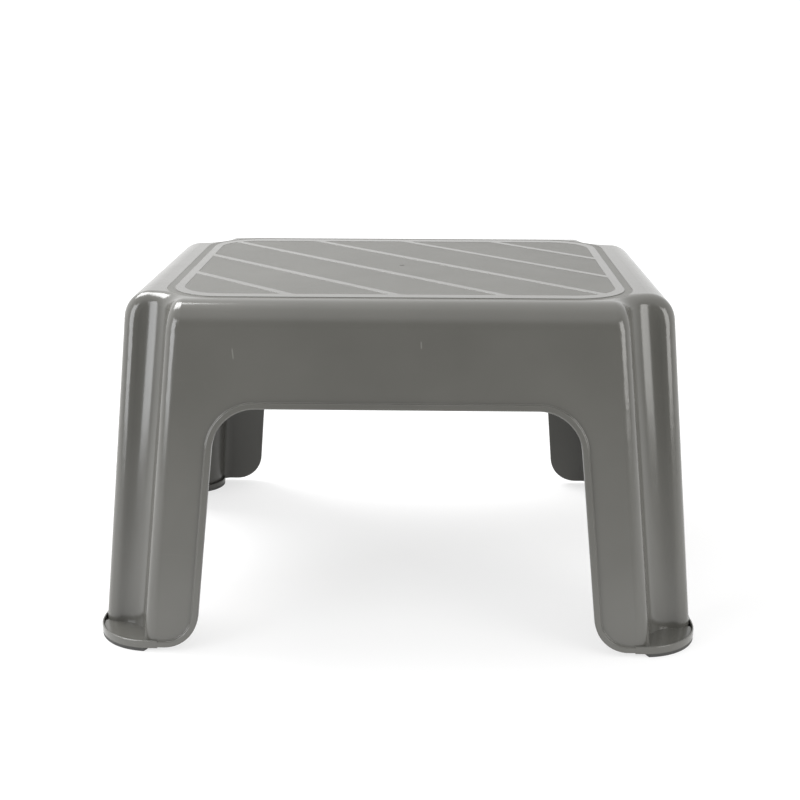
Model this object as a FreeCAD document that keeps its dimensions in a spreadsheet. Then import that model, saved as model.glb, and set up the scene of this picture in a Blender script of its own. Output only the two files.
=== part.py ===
import FreeCAD
import Part
import PartDesign
import Sketcher
import math
import os
import re

# One-step moulded stool, in millimetres, +Z up, with its origin on the floor under its centre.
# X runs along the long side of the tread and Y along its short side.

DIMENSIONS = {
    # outer skin: four leaning walls, as half sizes at floor level and inward lean per mm of height
    "foot_half_x": 194.0,
    "foot_half_y": 169.6,
    "lean_x": 0.0765,
    "lean_y": 0.133,
    "skin_top": 221.2,
    "wall": 2.8,
    "top_round": 17.5,
    # channels down the four corners
    "flute_radius": 19.6,
    "flute_inset": 10.9,
    "flute_lean": 0.014,
    "rib_round": 9.5,
    # openings between the legs, and the bead round their edges
    "panel_bottom": 2.8,
    "arch_top": 156.0,
    "arch_half_x": 113.8,
    "arch_half_y": 82.0,
    "arch_lean_x": 0.094,
    "arch_lean_y": 0.145,
    "arch_round": 28.0,
    "leg_round": 22.0,
    "bead_width": 4.0,
    "bead_proud": 1.7,
    "bead_round": 0.8,
    "bead_blend": 0.7,
    # closed corner feet with raised lips
    "boss_bottom": 2.4,
    "ledge_top": 5.6,
    "lip_top": 7.3,
    "lip_wall": 1.4,
    "lip_round": 0.65,
    "lip_reach": 41.0,
    "corner_round": 37.0,
    "boss_radius": 24.8,
    # raised tread panel inside a shallow channel, with a sunk, finely textured field
    "tread_half_x": 147.2,
    "tread_half_y": 119.0,
    "tread_corner": 35.8,
    "tread_rise": 0.32,
    "tread_edge": 0.3,
    "channel_width": 5.2,
    "channel_depth": 0.1,
    "band_x": 6.0,
    "band_y": 9.8,
    "field_corner": 28.5,
    "field_sink": 0.14,
    "field_edge": 0.12,
    "line_width": 5.6,
    "line_pitch": 69.0,
    "line_angle": -47.0,
    "gate_radius": 1.6,
    "gate_sink": 0.3,
    # stiffening ribs under the tread
    "stiffener_wall": 2.0,
    "stiffener_depth": 12.0,
    "stiffener_pitch_x": 60.0,
    "stiffener_pitch_y": 55.0,
    # non-slip pads under the feet
    "pad_inset": 0.2,
    "pad_edge": 0.4,
    "peg_radius": 3.0,
    "peg_rise": 1.8,
    "peg_gap": 0.15,
    "peg_spread": 6.5,
    "peg_inset": 6.0,
}

# Room by which cutting tools run past the faces that they cut.
MARGIN = 5.0
# How near an edge lies to where it is looked for.
NEAR = 0.05

CORNERS = {
    "front_left": (-1, -1),
    "front_right": (1, -1),
    "rear_left": (-1, 1),
    "rear_right": (1, 1),
}

X_AXIS = FreeCAD.Vector(1, 0, 0)
Y_AXIS = FreeCAD.Vector(0, 1, 0)
Z_AXIS = FreeCAD.Vector(0, 0, 1)

doc = FreeCAD.newDocument("stool")
sheet = doc.addObject("Spreadsheet::Sheet", "Dimensions")
for row, (alias, number) in enumerate(DIMENSIONS.items(), start=1):
    sheet.set(f"A{row}", alias)
    sheet.set(f"B{row}", str(number))
    sheet.setAlias(f"B{row}", alias)
doc.recompute()


def size(alias):
    """A driving dimension, read from the sheet."""
    return float(sheet.get(alias))


def bound(text):
    """An expression whose dimension names refer to the sheet."""
    return re.sub(r"[a-z_]+", lambda word: f"Dimensions.{word.group()}", str(text))


# ---- sketches and bodies -------------------------------------------------------------------


def new_body(name):
    return doc.addObject("PartDesign::Body", name)


def new_sketch(body, name, role, level):
    """A sketch on one of the body's origin planes, raised by the level along its normal."""
    plane = next(item for item in body.Origin.OriginFeatures if item.Role == role)
    sketch = body.newObject("Sketcher::SketchObject", name)
    sketch.AttachmentSupport = [(plane, "")]
    sketch.MapMode = "FlatFace"
    sketch.setExpression("AttachmentOffset.Base.z", bound(level))
    return sketch


def add_polygon(sketch, corners, tag):
    """A closed outline whose corners are pairs of expressions, each dimensioned from the origin."""
    count = len(corners)
    first = sketch.GeometryCount
    turns = [2 * math.pi * (index + 0.3) / count for index in range(count)]
    starts = [FreeCAD.Vector(math.cos(turn), math.sin(turn), 0) * 100 for turn in turns]
    for index in range(count):
        sketch.addGeometry(Part.LineSegment(starts[index], starts[(index + 1) % count]), False)
    for index in range(count):
        here = first + index
        after = first + (index + 1) % count
        sketch.addConstraint(Sketcher.Constraint("Coincident", here, 2, after, 1))
    for index, corner in enumerate(corners):
        for axis, kind in enumerate(("DistanceX", "DistanceY")):
            start = starts[index][axis]
            number = sketch.addConstraint(
                Sketcher.Constraint(kind, -1, 1, first + index, 1, start)
            )
            label = f"{tag}{index}{kind[-1]}"
            sketch.renameConstraint(number, label)
            sketch.setExpression(f"Constraints.{label}", bound(corner[axis]))


def rectangle(low_x, high_x, low_y, high_y):
    return [(low_x, low_y), (high_x, low_y), (high_x, high_y), (low_x, high_y)]


def add_pad(body, sketch, length, symmetric=False):
    pad = body.newObject("PartDesign::Pad", f"{sketch.Name}_pad")
    pad.Profile = sketch
    pad.setExpression("Length", bound(length))
    if symmetric:
        pad.SideType = "Symmetric"
    doc.recompute()
    return pad


def add_fillet(body, base, chosen, radius, name):
    """Round the edges of the base for which chosen(edge) holds."""
    names = [f"Edge{i}" for i, edge in enumerate(base.Shape.Edges, start=1) if chosen(edge)]
    fillet = body.newObject("PartDesign::Fillet", name)
    fillet.Base = (base, names)
    fillet.setExpression("Radius", bound(radius))
    doc.recompute()
    return fillet


def middle(edge):
    """The point half way along an edge."""
    return edge.valueAt((edge.FirstParameter + edge.LastParameter) / 2)


def along(edge, axis):
    """Whether a straight edge runs along one of the axes."""
    if len(edge.Vertexes) != 2:
        return False
    step = edge.Vertexes[1].Point - edge.Vertexes[0].Point
    return abs(abs(step.normalize().dot(axis)) - 1) < 1e-6


def rounded_block(name, outline, low, high, radius, chosen=lambda edge: True):
    """A block between two levels whose upright edges, or the chosen ones of them, are rounded."""
    body = new_body(name)
    sketch = new_sketch(body, f"{name}_outline", "XY_Plane", low)
    add_polygon(sketch, outline, "corner")
    pad = add_pad(body, sketch, f"({high}) - ({low})")
    add_fillet(
        body, pad, lambda edge: along(edge, Z_AXIS) and chosen(edge), radius, f"{name}_corners"
    )
    return body


def boolean(kind, name, *members):
    """A Part boolean: Cut takes a base and a tool, MultiFuse and MultiCommon any number."""
    result = doc.addObject(f"Part::{kind}", name)
    if kind == "Cut":
        result.Base, result.Tool = members
    else:
        result.Shapes = list(members)
    doc.recompute()
    return result


def cylinder(name, radius, height, place):
    result = doc.addObject("Part::Cylinder", name)
    result.setExpression("Radius", bound(radius))
    result.setExpression("Height", bound(height))
    result.Placement = place
    return result


def box(name, length, width, height, place):
    result = doc.addObject("Part::Box", name)
    result.setExpression("Length", bound(length))
    result.setExpression("Width", bound(width))
    result.setExpression("Height", bound(height))
    result.Placement = place
    return result


# ---- the leaning, fluted form ----------------------------------------------------------------


def flute_centre(side_x, side_y, level):
    """Where a corner channel's axis, which leans in more than the walls, passes a level."""
    inset = size("flute_inset") + size("flute_lean") * level
    reach_x = size("foot_half_x") - size("lean_x") * level - inset
    reach_y = size("foot_half_y") - size("lean_y") * level - inset
    return FreeCAD.Vector(side_x * reach_x, side_y * reach_y, level)


def add_flute(body, name, side_x, side_y, offset):
    """Cut the channel down one corner, as a cylinder that leans with the corner."""
    low = flute_centre(side_x, side_y, -2 * MARGIN)
    high = flute_centre(side_x, side_y, size("skin_top") + 2 * MARGIN)
    flute = body.newObject("PartDesign::SubtractiveCylinder", name)
    flute.setExpression("Radius", bound(f"flute_radius + {offset}"))
    flute.Height = (high - low).Length
    flute.Placement = FreeCAD.Placement(low, FreeCAD.Rotation(Z_AXIS, high - low))
    doc.recompute()
    return flute


def on_flute(edge, radius):
    """Whether an edge lies on the wall of a corner channel, off the form's underside."""
    point = middle(edge)
    if point.z < -MARGIN + NEAR:
        return False
    side_x = math.copysign(1, point.x)
    side_y = math.copysign(1, point.y)
    low = flute_centre(side_x, side_y, 0)
    axis = (flute_centre(side_x, side_y, 1) - low).normalize()
    distance = (point - low).cross(axis).Length
    return abs(distance - radius) < NEAR


def leaning_block(name, offset):
    """A block with the stool's four leaning walls, moved in by the offset, and a rounded top."""
    body = new_body(name)
    low = f"-{MARGIN}"
    top = f"skin_top - {offset}"
    wide = new_sketch(body, f"{name}_front", "XZ_Plane", 0)
    low_x = f"foot_half_x - lean_x * ({low}) - {offset}"
    top_x = f"foot_half_x - lean_x * ({top}) - {offset}"
    outline = [(f"-({low_x})", low), (low_x, low), (top_x, top), (f"-({top_x})", top)]
    add_polygon(wide, outline, "front")
    add_pad(body, wide, f"2 * (foot_half_y + {4 * MARGIN})", symmetric=True)
    low_y = f"foot_half_y - lean_y * ({low}) - {offset}"
    top_y = f"foot_half_y - lean_y * (skin_top + {MARGIN}) - {offset}"
    deep = new_sketch(body, f"{name}_side", "YZ_Plane", 0)
    beyond = f"foot_half_y + {5 * MARGIN}"
    for side, tag in ((-1, "rear"), (1, "front")):
        wedge = [
            (f"{side} * ({low_y})", low),
            (f"{side} * ({beyond})", low),
            (f"{side} * ({beyond})", f"skin_top + {MARGIN}"),
            (f"{side} * ({top_y})", f"skin_top + {MARGIN}"),
        ]
        add_polygon(deep, wedge, tag)
    pocket = body.newObject("PartDesign::Pocket", f"{name}_slopes")
    pocket.Profile = deep
    pocket.Type = "ThroughAll"
    pocket.SideType = "Symmetric"
    doc.recompute()
    level = size("skin_top") - offset
    add_fillet(
        body,
        pocket,
        lambda edge: all(abs(end.Z - level) < NEAR for end in edge.Vertexes),
        f"top_round - {offset}",
        f"{name}_top",
    )
    return body


def fluted_form(name, offset):
    """The stool's outer form, or the same form with its skin moved in by the offset."""
    body = leaning_block(name, offset)
    for corner, (side_x, side_y) in CORNERS.items():
        skin = add_flute(body, f"{name}_flute_{corner}", side_x, side_y, offset)
    radius = size("flute_radius") + offset
    add_fillet(
        body, skin, lambda edge: on_flute(edge, radius), f"rib_round - {offset}", f"{name}_ribs"
    )
    return body


# ---- openings, bead and shell ----------------------------------------------------------------

# Each pair of openings: the plane that shows its outline, and the names of its dimensions.
OPENINGS = {
    "x": ("XZ_Plane", "arch_half_x", "arch_lean_x", "foot_half_x", "foot_half_y"),
    "y": ("YZ_Plane", "arch_half_y", "arch_lean_y", "foot_half_y", "foot_half_x"),
}


def opening(name, side, grow, reach):
    """A tool for the opening seen along one axis and for the gap under the leg panels.

    It is grown all round by the dimension `grow`, if any: that is the outer edge of the bead.
    """
    role, half, lean, foot_half, depth = OPENINGS[side]
    extra = grow or "0"
    low = f"(panel_bottom + {extra})"
    top = f"(arch_top + {extra})"
    low_half = f"({half} + {lean} * (arch_top - {low}) + {extra})"
    top_half = f"({half} + {lean} * (arch_top - {top}) + {extra})"
    outline = [
        (f"-({reach})", f"-{2 * MARGIN}"),
        (reach, f"-{2 * MARGIN}"),
        (reach, low),
        (low_half, low),
        (top_half, top),
        (f"-{top_half}", top),
        (f"-{low_half}", low),
        (f"-({reach})", low),
    ]
    body = new_body(name)
    sketch = new_sketch(body, f"{name}_outline", role, 0)
    add_polygon(sketch, outline, "corner")
    pad = add_pad(body, sketch, f"2 * ({depth} + {4 * MARGIN})", symmetric=True)
    through, sideways = (Y_AXIS, X_AXIS) if side == "x" else (X_AXIS, Y_AXIS)
    grown = size(grow) if grow else 0
    limit = size(foot_half) - size("lip_reach") - NEAR

    def at_arch_corner(edge):
        return along(edge, through) and abs(middle(edge).z - size("arch_top") - grown) < NEAR

    def at_leg_corner(edge):
        point = middle(edge)
        on_level = abs(point.z - size("panel_bottom") - grown) < NEAR
        return along(edge, through) and on_level and abs(point.dot(sideways)) < limit

    arch = add_fillet(body, pad, at_arch_corner, f"arch_round + {extra}", f"{name}_arch")
    add_fillet(body, arch, at_leg_corner, f"leg_round - {extra}", f"{name}_legs")
    return body


def beaded_form(outer):
    """The outer form with the bead standing proud along every free edge of its panels."""
    proud = leaning_block("proud_form", -size("bead_proud"))
    zones = [
        opening(f"bead_zone_{side}", side, "bead_width", f"{OPENINGS[side][3]} - lip_reach")
        for side in OPENINGS
    ]
    zone = boolean("MultiFuse", "bead_zone", *zones)
    bead = boolean("MultiCommon", "bead", proud, zone)
    return boolean("MultiFuse", "beaded_form", outer, bead)


def slotted_core():
    """The hollow inside, with slots where the stiffening ribs under the tread stand."""
    core = fluted_form("core_form", size("wall"))
    base = size("skin_top") - size("wall") - size("stiffener_depth")
    height = "wall + stiffener_depth + wall"
    span_x = 2 * size("foot_half_x")
    span_y = 2 * size("foot_half_y")
    thick = size("stiffener_wall")
    slots = []
    for step in (-1.5, -0.5, 0.5, 1.5):
        x = step * size("stiffener_pitch_x") - thick / 2
        y = step * size("stiffener_pitch_y") - thick / 2
        crosswise = place_at(x, -span_y / 2, base)
        lengthwise = place_at(-span_x / 2, y, base)
        number = len(slots)
        slots.append(
            box(f"slot_{number}", "stiffener_wall", "2 * foot_half_y", height, crosswise)
        )
        slots.append(
            box(f"slot_{number + 1}", "2 * foot_half_x", "stiffener_wall", height, lengthwise)
        )
    return boolean("Cut", "slotted_core", core, boolean("MultiFuse", "slots", *slots))


def place_at(x, y, z, turn=0.0):
    """A placement at a point, turned about +Z by an angle in degrees."""
    return FreeCAD.Placement(FreeCAD.Vector(x, y, z), FreeCAD.Rotation(Z_AXIS, turn))


def open_shell():
    """The beaded shell, hollow underneath and open on all four sides."""
    outer = fluted_form("outer_form", 0)
    walls = boolean("Cut", "walls", beaded_form(outer), slotted_core())
    cuts = [
        opening(f"opening_{side}", side, "", f"{OPENINGS[side][3]} + {3 * MARGIN}")
        for side in OPENINGS
    ]
    opened = boolean("Cut", "opened_walls", walls, boolean("MultiFuse", "openings", *cuts))
    crested = round_edges("crested_bead", opened, on_bead_crest, "bead_round")
    return round_edges("open_shell", crested, on_bead_foot, "bead_blend")


def wall_offsets(point):
    """How far a point stands out from the plane of each of the four walls."""
    half_x = size("foot_half_x") - size("lean_x") * point.z
    half_y = size("foot_half_y") - size("lean_y") * point.z
    return (abs(point.x) - half_x, abs(point.y) - half_y)


def lies_at(edge, offset):
    """Whether an edge lies in a plane parallel to one of the walls, at this offset from it."""
    ends = (edge.FirstParameter, edge.LastParameter)
    points = [edge.valueAt(ends[0] + (ends[1] - ends[0]) * step / 4) for step in range(5)]
    pairs = zip(*(wall_offsets(point) for point in points))
    return any(all(abs(reach - offset) < NEAR for reach in reaches) for reaches in pairs)


def at_bead_end(edge):
    """Whether an edge is the short upright one where a bead runs into a foot."""
    return abs(edge.Length - size("bead_width")) < NEAR and middle(edge).z < size("lip_top")


def on_bead_crest(edge):
    return lies_at(edge, size("bead_proud")) and not at_bead_end(edge)


def on_bead_foot(edge):
    """Whether an edge is where the bead stands on a panel."""
    level = middle(edge).z
    beside_bead = size("panel_bottom") + NEAR < level < size("arch_top") + size("top_round")
    return beside_bead and lies_at(edge, 0) and not at_bead_end(edge)


# ---- feet ------------------------------------------------------------------------------------


def foot_block(name, side_x, side_y, out, reach, low, high):
    """A block at one corner, from `reach` inside the walls to `out` beyond, round outside."""
    far_x = "(foot_half_x - lean_x * ledge_top)"
    far_y = "(foot_half_y - lean_y * ledge_top)"
    outline = rectangle(
        f"{side_x} * ({far_x} - ({reach}))",
        f"{side_x} * ({far_x} + ({out}))",
        f"{side_y} * ({far_y} - ({reach}))",
        f"{side_y} * ({far_y} + ({out}))",
    )
    centre = flute_centre(side_x, side_y, size("ledge_top"))

    def outermost(edge):
        point = middle(edge)
        return point.x * side_x > centre.x * side_x and point.y * side_y > centre.y * side_y

    radius = f"corner_round - bead_proud + ({out})"
    return rounded_block(name, outline, low, high, radius, outermost)


def foot_disc(name, side_x, side_y, radius, low, height):
    """An upright cylinder round the foot of a channel."""
    centre = flute_centre(side_x, side_y, size("ledge_top"))
    return cylinder(name, radius, height, place_at(centre.x, centre.y, low))


def foot(corner, side_x, side_y):
    """The plate that closes a channel at its foot, and the raised lip round its edge."""
    block = foot_block(
        f"foot_block_{corner}", side_x, side_y, "bead_proud", "lip_reach", "boss_bottom", "lip_top"
    )
    hollow = foot_block(
        f"foot_hollow_{corner}",
        side_x,
        side_y,
        "bead_proud - lip_wall",
        f"lip_reach + {MARGIN}",
        "0",
        f"lip_top + {MARGIN}",
    )
    ring = boolean("Cut", f"lip_ring_{corner}", block, hollow)
    lip = round_edges(f"lip_{corner}", ring, on_lip_crest, "lip_round")
    disc = foot_disc(
        f"foot_disc_{corner}",
        side_x,
        side_y,
        "boss_radius",
        size("boss_bottom"),
        "ledge_top - boss_bottom",
    )
    plate = boolean("MultiCommon", f"foot_plate_{corner}", block, disc)
    sockets = peg_group(f"socket_{corner}", side_x, side_y, "peg_radius + peg_gap", "peg_gap")
    solid = boolean("MultiFuse", f"foot_solid_{corner}", lip, plate)
    return boolean("Cut", f"foot_{corner}", solid, sockets)


def on_lip_crest(edge):
    """Whether an edge is a long one along the top of a lip."""
    level = size("lip_top")
    at_top = all(abs(end.Z - level) < NEAR for end in edge.Vertexes)
    return at_top and edge.Length > size("lip_wall") + NEAR


def peg_group(name, side_x, side_y, radius, extra):
    """The two locating pegs of a pad, side by side across the corner, or their sockets."""
    inward = FreeCAD.Vector(side_x, side_y, 0) * size("peg_inset")
    centre = flute_centre(side_x, side_y, size("ledge_top")) - inward
    spread = size("peg_spread")
    sunk = size("boss_bottom") - MARGIN / 5
    pegs = [
        cylinder(
            f"{name}_{number}",
            radius,
            f"peg_rise + {MARGIN / 5} + {extra}",
            place_at(centre.x + turn * side_x * spread, centre.y - turn * side_y * spread, sunk),
        )
        for number, turn in enumerate((-1, 1))
    ]
    return boolean("MultiFuse", f"{name}_pegs", *pegs)


def foot_pad(corner, side_x, side_y):
    """A non-slip pad under one foot, held by two pegs pushed into the foot's plate."""
    block = foot_block(
        f"pad_block_{corner}",
        side_x,
        side_y,
        "bead_proud - pad_inset",
        "lip_reach",
        "0",
        "boss_bottom",
    )
    disc = foot_disc(
        f"pad_disc_{corner}", side_x, side_y, "boss_radius - pad_inset", 0, "boss_bottom"
    )
    slab = boolean("MultiCommon", f"pad_slab_{corner}", block, disc)
    rounded = round_edges(f"pad_rounded_{corner}", slab, on_floor, "pad_edge")
    pegs = peg_group(f"peg_{corner}", side_x, side_y, "peg_radius", "0")
    pad = boolean("MultiFuse", f"pad_{corner}", rounded, pegs)
    pad.Label = f"foot_pad_{corner}"
    return pad


def on_floor(edge):
    return all(abs(end.Z) < NEAR for end in edge.Vertexes)


def round_edges(name, base, chosen, radius):
    """A Part fillet of the base's edges for which chosen(edge) holds."""
    result = doc.addObject("Part::Fillet", name)
    result.Base = base
    result.Edges = [
        (number, size(radius), size(radius))
        for number, edge in enumerate(base.Shape.Edges, start=1)
        if chosen(edge)
    ]
    doc.recompute()
    return result


# ---- tread -----------------------------------------------------------------------------------


def tread_block(name, grow_x, grow_y, corner, low, high):
    """A block with the tread's outline, grown or shrunk along each axis."""
    half_x = f"(tread_half_x + ({grow_x}))"
    half_y = f"(tread_half_y + ({grow_y}))"
    outline = rectangle(f"-{half_x}", half_x, f"-{half_y}", half_y)
    return rounded_block(name, outline, low, high, corner)


def tread_lines():
    """The smooth lines that cross the textured field slantwise."""
    length = 3 * size("tread_half_x")
    turn = size("line_angle")
    bars = []
    for number, step in enumerate((-2.5, -1.5, -0.5, 0.5, 1.5, 2.5)):
        centre = FreeCAD.Vector(step * size("line_pitch"), 0, size("skin_top"))
        corner = FreeCAD.Vector(-length / 2, -size("line_width") / 2, 0)
        rotation = FreeCAD.Rotation(Z_AXIS, turn)
        place = FreeCAD.Placement(centre + rotation.multVec(corner), rotation)
        bars.append(box(f"line_{number}", "3 * tread_half_x", "line_width", "tread_rise", place))
    return boolean("MultiFuse", "lines", *bars)


def tread_panel():
    """The raised panel, with its field sunk between the border band and the lines."""
    block = tread_block(
        "tread_block",
        "0",
        "0",
        "tread_corner",
        "skin_top - channel_depth - field_sink",
        "skin_top + tread_rise",
    )
    edged = round_edges("tread_edged", block, on_tread_top, "tread_edge")
    field = tread_block(
        "field_block",
        "-band_x",
        "-band_y",
        "field_corner",
        "skin_top + tread_rise - field_sink",
        f"skin_top + tread_rise + {MARGIN}",
    )
    sunk = boolean("Cut", "field", field, tread_lines())
    fielded = boolean("Cut", "fielded_panel", edged, sunk)
    softened = round_edges("softened_panel", fielded, on_field_brim, "field_edge")
    gate_level = size("skin_top") + size("tread_rise") - size("field_sink") - size("gate_sink")
    gate = cylinder("gate", "gate_radius", f"{MARGIN}", place_at(0, 0, gate_level))
    return boolean("Cut", "tread_panel", softened, gate)


def on_tread_top(edge):
    top = size("skin_top") + size("tread_rise")
    return all(abs(end.Z - top) < NEAR for end in edge.Vertexes)


def on_field_brim(edge):
    """Whether an edge lies where the band or a line drops to the field."""
    point = middle(edge)
    inside = abs(point.x) < size("tread_half_x") - size("band_x") + NEAR
    return inside and abs(point.y) < size("tread_half_y") - size("band_y") + NEAR and on_tread_top(edge)


# ---- the moulded body ------------------------------------------------------------------------


def stool_body():
    """The whole stool in one moulding: tread, walls, legs, beads and closed feet."""
    channel = tread_block(
        "channel_block",
        "channel_width",
        "channel_width",
        "tread_corner + channel_width",
        "skin_top - channel_depth",
        f"skin_top + {MARGIN}",
    )
    channelled = boolean("Cut", "channelled_shell", open_shell(), channel)
    feet = [foot(corner, *sides) for corner, sides in CORNERS.items()]
    whole = boolean("MultiFuse", "moulding", channelled, tread_panel(), *feet)
    whole.Label = "stool_body"
    return whole


def write_parts(parts):
    """Check the document and every sub-part, then write one STEP file for each."""
    doc.recompute()
    failed = [item.Name for item in doc.Objects if {"Invalid", "Error"} & set(item.State)]
    if failed:
        raise RuntimeError(f"failed objects: {failed}")
    for part in parts:
        if part.Shape.isNull() or not part.Shape.isValid() or len(part.Shape.Solids) != 1:
            raise RuntimeError(f"bad shape: {part.Label}")
    os.makedirs("parts", exist_ok=True)
    for part in parts:
        part.Shape.exportStep(f"parts/{part.Label}.step")
        print(part.Label, round(part.Shape.Volume), part.Shape.BoundBox)


write_parts([stool_body(), *(foot_pad(corner, *sides) for corner, sides in CORNERS.items())])
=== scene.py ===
import math

import bpy
from mathutils import Matrix, Vector


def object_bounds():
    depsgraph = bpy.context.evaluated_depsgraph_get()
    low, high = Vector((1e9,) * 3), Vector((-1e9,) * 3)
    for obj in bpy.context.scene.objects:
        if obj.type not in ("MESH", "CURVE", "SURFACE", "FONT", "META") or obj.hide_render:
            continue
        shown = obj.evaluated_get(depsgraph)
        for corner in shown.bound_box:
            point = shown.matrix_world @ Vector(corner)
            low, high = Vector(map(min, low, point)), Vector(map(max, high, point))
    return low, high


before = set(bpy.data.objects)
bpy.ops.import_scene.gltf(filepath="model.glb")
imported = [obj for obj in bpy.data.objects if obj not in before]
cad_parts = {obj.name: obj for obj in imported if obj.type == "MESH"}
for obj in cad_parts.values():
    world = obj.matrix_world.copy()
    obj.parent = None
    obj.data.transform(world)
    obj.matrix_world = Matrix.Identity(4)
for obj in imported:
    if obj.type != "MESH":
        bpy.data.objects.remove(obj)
cad_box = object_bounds()

# ---- camera ----------------------------------------------------------------------------------

CAMERA_PLACE = Vector((0.0207, -0.9565, 0.3871))
CAMERA_YAW = 0.023
CAMERA_PITCH = -0.271
CAMERA_ROLL = 0.002
FOCAL_RATIO = 1.6866
SENSOR_MM = 36.0


def add_camera():
    """The camera that sees the stool from its front, a little above the tread."""
    right = Vector((math.cos(CAMERA_YAW), math.sin(CAMERA_YAW), 0))
    level = Vector((-math.sin(CAMERA_YAW), math.cos(CAMERA_YAW), 0))
    upright = Vector((0, 0, 1))
    forward = math.cos(CAMERA_PITCH) * level + math.sin(CAMERA_PITCH) * upright
    lifted = -math.sin(CAMERA_PITCH) * level + math.cos(CAMERA_PITCH) * upright
    across = math.cos(CAMERA_ROLL) * right + math.sin(CAMERA_ROLL) * lifted
    up = -math.sin(CAMERA_ROLL) * right + math.cos(CAMERA_ROLL) * lifted
    data = bpy.data.cameras.new("camera")
    data.sensor_width = SENSOR_MM
    data.lens = FOCAL_RATIO * SENSOR_MM
    data.clip_start = 0.01
    camera = bpy.data.objects.new("camera", data)
    turn = Matrix((across, up, -forward)).transposed()
    camera.matrix_world = Matrix.Translation(CAMERA_PLACE) @ turn.to_4x4()
    bpy.context.scene.collection.objects.link(camera)
    bpy.context.scene.camera = camera


# ---- shader graphs ---------------------------------------------------------------------------


class Graph:
    """A node tree, with short ways to add and link its nodes."""

    def __init__(self, tree):
        self.tree = tree

    def add(self, kind):
        return self.tree.nodes.new(kind)

    def feed(self, socket, value):
        """Link a socket to the value, or set it where the value is a plain number."""
        if isinstance(value, bpy.types.NodeSocket):
            self.tree.links.new(value, socket)
        else:
            socket.default_value = value

    def math(self, operation, *values):
        node = self.add("ShaderNodeMath")
        node.operation = operation
        for socket, value in zip(node.inputs, values):
            self.feed(socket, value)
        return node.outputs[0]

    def split(self, vector):
        node = self.add("ShaderNodeSeparateXYZ")
        self.feed(node.inputs[0], vector)
        return node.outputs

    def step(self, value, low, high):
        """A smooth step from 0 to 1 as the value goes from low to high."""
        node = self.add("ShaderNodeMapRange")
        node.interpolation_type = "SMOOTHSTEP"
        for name, number in (("Value", value), ("From Min", low), ("From Max", high)):
            self.feed(node.inputs[name], number)
        return node.outputs["Result"]

    def ramp(self, value, steps):
        """The colour at the value on a ramp of (place, colour) steps."""
        node = self.add("ShaderNodeValToRGB")
        elements = node.color_ramp.elements
        for place, _ in steps[2:]:
            elements.new(place)
        for element, (place, colour) in zip(elements, steps):
            element.position = place
            element.color = (*colour, 1)
        self.feed(node.inputs["Fac"], value)
        return node.outputs["Color"]

    def scale(self, colour, factor):
        node = self.add("ShaderNodeVectorMath")
        node.operation = "SCALE"
        self.feed(node.inputs[0], colour)
        self.feed(node.inputs["Scale"], factor)
        return node.outputs[0]

    def noise(self, place, scale, detail):
        node = self.add("ShaderNodeTexNoise")
        self.feed(node.inputs["Vector"], place)
        node.inputs["Scale"].default_value = scale
        node.inputs["Detail"].default_value = detail
        return node.outputs["Fac"]


# ---- light and floor -------------------------------------------------------------------------

# The studio's brightness: its dark front, how much brighter its back is, and the share of that
# which its ceiling and its left side have.
WORLD_DARK = 0.13
WORLD_RISE = 0.93
CEILING_SHARE = 0.8
LEFT_GAIN = 0.35
# Where the brightness fades in, as parts of a direction: backwards for the back, upwards for the
# ceiling.
BACK_FADE = (-0.76, 0.2)
CEILING_FADE = (0.40, 0.85)
# Each softbox: name, place, target, width, height, watts and colour.
SOFTBOXES = [
    ("key_light", (-0.95, 0.55, 1.6), (0, 0, 0.1), 0.9, 0.9, 25, (1, 1, 1)),
    ("left_light", (-1.175, -0.958, 0.56), (-0.1, -0.1, 0.4), 0.75, 0.9, 10.5, (0.97, 0.98, 1)),
    ("right_light", (1.175, -0.958, 0.6), (0.1, -0.1, 0.4), 0.75, 0.9, 9, (1, 0.99, 0.97)),
]
# The floor's half size, its two shades of paint, and its glow by how far back it lies, as a part
# of its whole depth.
FLOOR_SPAN = 6.0
FLOOR_PAINT = (0.31, 0.31, 0.31)
FLOOR_PAINT_LIGHT = (0.33, 0.33, 0.33)
FLOOR_SPECK_SCALE = 3.0
FLOOR_GLOW = [
    (0.35, (0.26, 0.26, 0.26)),
    (0.449, (0.28, 0.28, 0.28)),
    (0.463, (0.68, 0.68, 0.68)),
    (0.65, (0.75, 0.75, 0.75)),
]


def add_softbox(name, place, target, width, height, watts, colour):
    data = bpy.data.lights.new(name, "AREA")
    data.shape = "RECTANGLE"
    data.size = width
    data.size_y = height
    data.energy = watts
    data.color = colour
    light = bpy.data.objects.new(name, data)
    turn = (Vector(target) - Vector(place)).to_track_quat("-Z", "Y")
    light.matrix_world = Matrix.Translation(place) @ turn.to_matrix().to_4x4()
    bpy.context.scene.collection.objects.link(light)


def add_world():
    """A white studio: bright behind the stool and to its sides, dimmer behind the camera."""
    world = bpy.data.worlds.new("studio")
    world.use_nodes = True
    graph = Graph(world.node_tree)
    place = graph.add("ShaderNodeTexCoord").outputs["Generated"]
    x, y, z = graph.split(place)
    behind = graph.step(y, *BACK_FADE)
    ceiling = graph.math("MULTIPLY", graph.step(z, *CEILING_FADE), CEILING_SHARE)
    white = graph.math("MAXIMUM", behind, ceiling)
    shade = graph.math("MULTIPLY_ADD", white, WORLD_RISE, WORLD_DARK)
    leftward = graph.math("MAXIMUM", graph.math("MULTIPLY", x, -1), 0)
    gain = graph.math("MULTIPLY_ADD", leftward, LEFT_GAIN, 1.0)
    background = world.node_tree.nodes["Background"]
    graph.feed(background.inputs["Color"], graph.math("MULTIPLY", shade, gain))
    background.inputs["Strength"].default_value = 1.0
    bpy.context.scene.world = world
    bpy.context.scene.view_settings.view_transform = "Standard"


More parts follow.
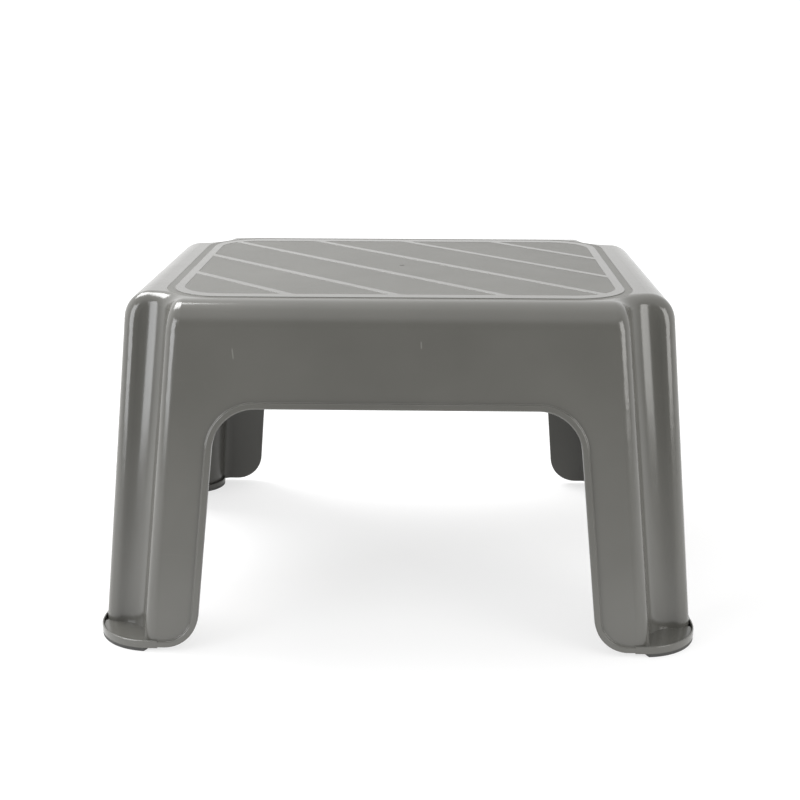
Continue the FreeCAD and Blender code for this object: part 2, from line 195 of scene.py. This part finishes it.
def add_floor():
    """A wide, plain floor: pale in front of the stool, white round and behind it."""
    span = FLOOR_SPAN
    mesh = bpy.data.meshes.new("floor")
    corners = [(-span, -span, 0), (span, -span, 0), (span, span, 0), (-span, span, 0)]
    mesh.from_pydata(corners, [], [(0, 1, 2, 3)])
    floor = bpy.data.objects.new("floor", mesh)
    bpy.context.scene.collection.objects.link(floor)
    material, graph, shader, place = new_material("floor_paint")
    shader.inputs["Roughness"].default_value = 0.9
    depth = graph.math("MULTIPLY_ADD", graph.split(place)[1], 1 / (2 * span), 0.5)
    speck = graph.noise(place, FLOOR_SPECK_SCALE, 2.0)
    paint = graph.ramp(speck, [(0.3, FLOOR_PAINT), (0.7, FLOOR_PAINT_LIGHT)])
    graph.feed(shader.inputs["Base Color"], paint)
    graph.feed(shader.inputs["Emission Color"], graph.ramp(depth, FLOOR_GLOW))
    shader.inputs["Emission Strength"].default_value = 1.0
    mesh.materials.append(material)


# ---- materials -------------------------------------------------------------------------------


# The channel round the tread panel: half sizes and corner radius of its outer edge.
CHANNEL = (0.1524, 0.1242, 0.0410)
# The tread is etched from this far to this far below its smooth lines, with these soft limits.
ETCHED_DEPTHS = (0.00102, 0.00007)
DEPTH_BLUR = (0.0001, 0.00004)
EDGE_BLUR = 0.0002
# How far a face has to look inwards to count as the inside, as distance times its slant. The
# inside gets a rougher, less shiny finish and painted shade that darkens its colour.
INWARD_FADE = (-0.02, -0.05)
# Scuffs on the front: middle x and z, half height, and sideways lean per unit of height.
SCUFFS = [(-0.1020, 0.1903, 0.0048, -0.10), (0.0151, 0.1963, 0.0034, -0.05)]
SCUFF_WIDTHS = (0.0008, 0.0001)
FRONT_FADE = (-0.120, -0.130)

PLASTIC_DARK = (0.1075, 0.1055, 0.0955)
PLASTIC_LIGHT = (0.1195, 0.1175, 0.1065)
PLASTIC_SHINE = 0.7
PLASTIC_ROUGHNESS = 0.13
SMEAR_ROUGHNESS = 0.08
GRAIN_DEPTH = 0.000004
ETCHED_GRAIN_DEPTH = 0.00012
RIPPLE_DEPTH = 0.00004
SCRATCH_DEPTH = 0.000002
# What each kind of surface adds to the roughness and to the tone's factor. The inside's darker
# tone is painted shade.
ADDED_ROUGHNESS = {"etched": 0.30, "inside": 0.15, "scratched": 0.05, "scuffed": 0.2}
ADDED_TONE_AND_PAINTED_SHADE = {"inside": -0.4, "scratched": 0.03, "scuffed": 0.30}
INSIDE_SHINE = -0.35
# Noise scales, each with its detail.
CLOUD = (14.0, 3.0)
SMEAR = (45.0, 4.0)
GRAIN = (2600.0, 2.0)
RIPPLE = (60.0, 2.0)
PATCH = (11.0, 1.0)
DUST = (90.0, 4.0)
RUBBER_GRAIN = (900.0, 3.0)

RUBBER_DARK = (0.055, 0.055, 0.053)
RUBBER_LIGHT = (0.080, 0.080, 0.077)
RUBBER_SHINE = 0.35
RUBBER_ROUGHNESS = 0.6
DUST_ROUGHNESS = 0.2
RUBBER_GRAIN_DEPTH = 0.00012


def rounded_rectangle(graph, x, y, half_x, half_y, radius):
    """How far a point lies outside a rounded rectangle about the origin."""
    over_x = graph.math("SUBTRACT", graph.math("ABSOLUTE", x), half_x - radius)
    over_y = graph.math("SUBTRACT", graph.math("ABSOLUTE", y), half_y - radius)
    out_x = graph.math("MAXIMUM", over_x, 0)
    out_y = graph.math("MAXIMUM", over_y, 0)
    squares = graph.math("MULTIPLY_ADD", out_y, out_y, graph.math("MULTIPLY", out_x, out_x))
    outside = graph.math("SQRT", squares)
    inside = graph.math("MINIMUM", graph.math("MAXIMUM", over_x, over_y), 0)
    return graph.math("SUBTRACT", graph.math("ADD", outside, inside), radius)


def etched_area(graph, x, y, z):
    """1 on the sunk, finely textured parts of the tread and 0 on the smooth parts."""
    gap = rounded_rectangle(graph, x, y, *CHANNEL)
    within = graph.step(gap, EDGE_BLUR, -EDGE_BLUR)
    base, top = (cad_box[1][2] - depth for depth in ETCHED_DEPTHS)
    base_blur, top_blur = DEPTH_BLUR
    below = graph.step(z, top + top_blur, top - top_blur)
    above = graph.step(z, base - base_blur, base + base_blur)
    return graph.math("MULTIPLY", graph.math("MULTIPLY", within, below), above)


def inner_finish_and_painted_shade(graph, place):
    """1 on the faces that look towards the middle of the stool and 0 on the outer ones; it sets
    their rougher finish and their painted shade.
    """
    normal = graph.add("ShaderNodeNewGeometry").outputs["True Normal"]
    flat = graph.add("ShaderNodeVectorMath")
    flat.operation = "MULTIPLY"
    graph.feed(flat.inputs[0], place)
    flat.inputs[1].default_value = (1, 1, 0)
    dot = graph.add("ShaderNodeVectorMath")
    dot.operation = "DOT_PRODUCT"
    graph.feed(dot.inputs[0], flat.outputs[0])
    graph.feed(dot.inputs[1], normal)
    return graph.step(dot.outputs["Value"], *INWARD_FADE)


def add_bump(graph, shader, height):
    bump = graph.add("ShaderNodeBump")
    bump.inputs["Strength"].default_value = 1.0
    bump.inputs["Distance"].default_value = 1.0
    graph.feed(bump.inputs["Height"], height)
    graph.feed(shader.inputs["Normal"], bump.outputs["Normal"])


def new_material(name):
    """A material with its graph, its shader and the object's own coordinates."""
    material = bpy.data.materials.new(name)
    material.use_nodes = True
    graph = Graph(material.node_tree)
    shader = material.node_tree.nodes["Principled BSDF"]
    place = graph.add("ShaderNodeTexCoord").outputs["Object"]
    return material, graph, shader, place


def scratches(graph, place):
    """Sparse fine scratches: thin level lines of a stretched noise, only in some patches."""
    stretch = graph.add("ShaderNodeMapping")
    stretch.inputs["Rotation"].default_value = (0.3, 0.2, 0.6)
    stretch.inputs["Scale"].default_value = (9, 70, 40)
    graph.feed(stretch.inputs["Vector"], place)
    field = graph.noise(stretch.outputs[0], 1.0, 1.0)
    line = graph.step(graph.math("ABSOLUTE", graph.math("SUBTRACT", field, 0.5)), 0.006, 0.001)
    patch = graph.step(graph.noise(place, *PATCH), 0.58, 0.68)
    return graph.math("MULTIPLY", line, patch)


def scuffs(graph, x, y, z):
    """Two short, faint, upright rub marks on the front of the stool."""
    marks = 0
    front = graph.step(y, *FRONT_FADE)
    for middle_x, middle_z, half_height, lean in SCUFFS:
        rise = graph.math("SUBTRACT", z, middle_z)
        centre = graph.math("MULTIPLY_ADD", rise, lean, middle_x)
        across = graph.math("ABSOLUTE", graph.math("SUBTRACT", x, centre))
        narrow = graph.step(across, *SCUFF_WIDTHS)
        short = graph.step(graph.math("ABSOLUTE", rise), half_height, 0.3 * half_height)
        marks = graph.math("MAXIMUM", marks, graph.math("MULTIPLY", narrow, short))
    return graph.math("MULTIPLY", marks, front)


def sum_up(graph, start, masks, amounts):
    """The start plus each named amount times its mask."""
    for name, amount in amounts.items():
        start = graph.math("MULTIPLY_ADD", masks[name], amount, start)
    return start


def plastic():
    """Grey moulded plastic: semi-gloss outside, matt where etched, unpolished inside and
    darkened there with painted shade.
    """
    material, graph, shader, place = new_material("moulded_plastic")
    x, y, z = graph.split(place)
    masks = {
        "etched": etched_area(graph, x, y, z),
        "inside": inner_finish_and_painted_shade(graph, place),
        "scratched": scratches(graph, place),
        "scuffed": scuffs(graph, x, y, z),
    }
    tone = graph.ramp(graph.noise(place, *CLOUD), [(0.3, PLASTIC_DARK), (0.7, PLASTIC_LIGHT)])
    # Tone factor: lighter scratches and scuffs, and painted shade that darkens the inner faces.
    factor = sum_up(graph, 1.0, masks, ADDED_TONE_AND_PAINTED_SHADE)
    graph.feed(shader.inputs["Base Color"], graph.scale(tone, factor))
    shine = graph.math("MULTIPLY_ADD", masks["inside"], INSIDE_SHINE, PLASTIC_SHINE)
    graph.feed(shader.inputs["Specular IOR Level"], shine)
    smear = graph.noise(place, *SMEAR)
    rough = graph.math("MULTIPLY_ADD", smear, SMEAR_ROUGHNESS, PLASTIC_ROUGHNESS)
    graph.feed(shader.inputs["Roughness"], sum_up(graph, rough, masks, ADDED_ROUGHNESS))
    grain_depth = graph.math("MULTIPLY_ADD", masks["etched"], ETCHED_GRAIN_DEPTH, GRAIN_DEPTH)
    height = graph.math("MULTIPLY", graph.noise(place, *GRAIN), grain_depth)
    height = graph.math("MULTIPLY_ADD", graph.noise(place, *RIPPLE), RIPPLE_DEPTH, height)
    height = graph.math("MULTIPLY_ADD", masks["scratched"], -SCRATCH_DEPTH, height)
    add_bump(graph, shader, height)
    return material


def rubber():
    """Grey matt rubber for the foot pads, with a dusty, uneven face."""
    material, graph, shader, place = new_material("pad_rubber")
    dust = graph.noise(place, *DUST)
    tone = graph.ramp(dust, [(0.35, RUBBER_DARK), (0.7, RUBBER_LIGHT)])
    graph.feed(shader.inputs["Base Color"], tone)
    shader.inputs["Specular IOR Level"].default_value = RUBBER_SHINE
    rough = graph.math("MULTIPLY_ADD", dust, DUST_ROUGHNESS, RUBBER_ROUGHNESS)
    graph.feed(shader.inputs["Roughness"], rough)
    grain = graph.noise(place, *RUBBER_GRAIN)
    add_bump(graph, shader, graph.math("MULTIPLY", grain, RUBBER_GRAIN_DEPTH))
    return material


# ---- the scene -------------------------------------------------------------------------------

add_camera()
add_world()
for light in SOFTBOXES:
    add_softbox(*light)
add_floor()
body_finish = plastic()
pad_finish = rubber()
for name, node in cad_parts.items():
    for slot in node.material_slots:
        slot.material = pad_finish if name.startswith("foot_pad") else body_finish
